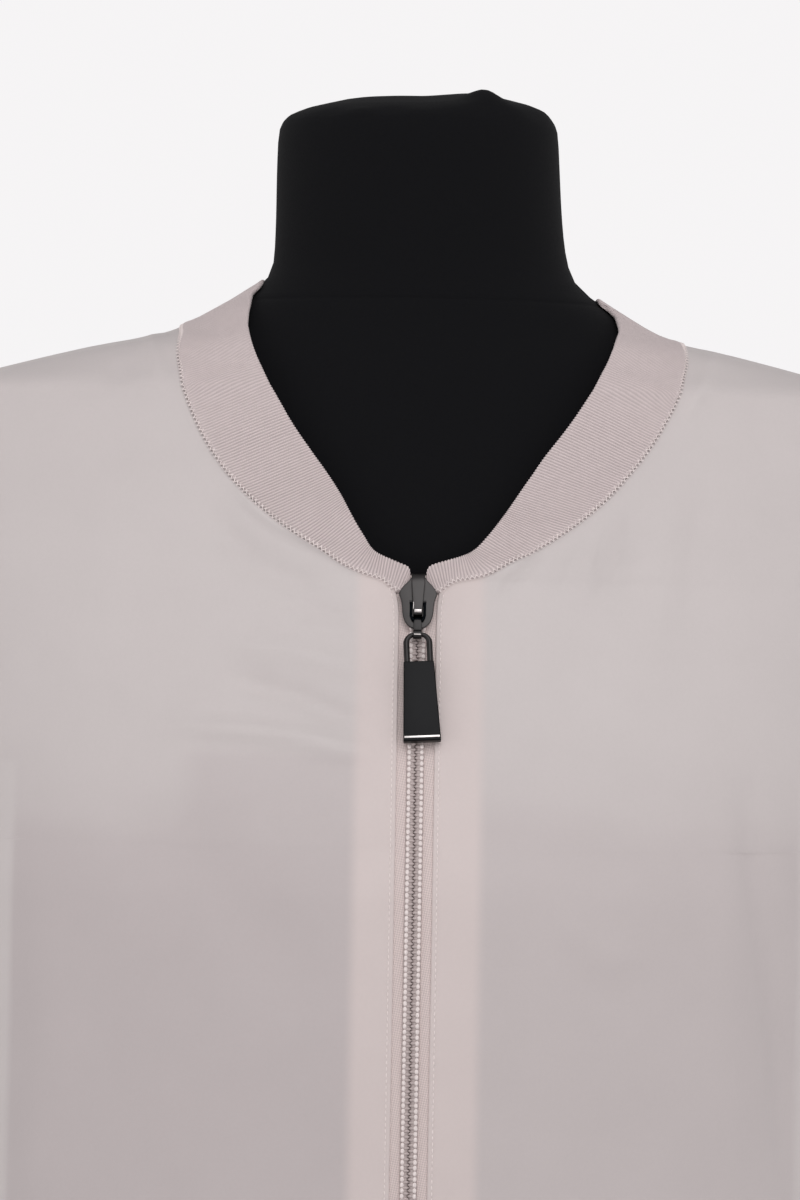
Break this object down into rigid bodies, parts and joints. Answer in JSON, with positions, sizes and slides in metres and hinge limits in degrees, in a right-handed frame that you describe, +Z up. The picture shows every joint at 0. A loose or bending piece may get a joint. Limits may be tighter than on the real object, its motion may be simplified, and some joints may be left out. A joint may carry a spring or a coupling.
{
  "type": "gilet on dress form",
  "caption": "Straight sleeveless gilet with a rib-knit neckband and a front zip with a long metal pull, shown on a limbless dress form with a flat base.",
  "frame": {"origin": "middle of the flat underside that the form stands on", "axes": "+Z up along the form; -Y toward the gilet's front; +X toward the wearer's left"},
  "size_m": [0.3782, 0.2567, 0.7925],
  "materials": {
    "cloth": "light semi-sheer cloth with a soft sheen",
    "rib_knit": "fine rib knit",
    "zip_tape": "woven tape",
    "zip_coil": "satin coil",
    "gunmetal": "dark polished plating",
    "form_jersey": "matte black jersey cover",
    "form_board": "black satin paint"
  },
  "bodies": {
    "gilet_on_form": {"front_left": "cloth", "front_right": "cloth", "back": "cloth", "facing_left": "cloth", "facing_right": "cloth", "neckband": "rib_knit", "zip_tape_left": "zip_tape", "zip_tape_right": "zip_tape", "zip_chain_left": "zip_coil", "zip_chain_right": "zip_coil", "zip_stop_left": "zip_coil", "zip_stop_right": "zip_coil", "zip_box": "zip_coil", "zip_pin": "zip_coil", "zip_slider": "gunmetal", "dress_form": "form_jersey", "form_base": "form_board"},
    "link": {"pull_link": "gunmetal"},
    "pull": {"pull_tab": "gunmetal"}
  },
  "joints": [
    {"name": "link_swing", "type": "hinge", "parent": "gilet_on_form", "child": "link", "pos_m": [0.0028, -0.0939, 0.59334], "axis": [-1, 0, 0], "range_deg": [0, 75]},
    {"name": "tab_swing", "type": "hinge", "parent": "link", "child": "pull", "pos_m": [0.0028, -0.09834, 0.58112], "axis": [-1, 0, 0], "range_deg": [0, 85]}
  ]
}
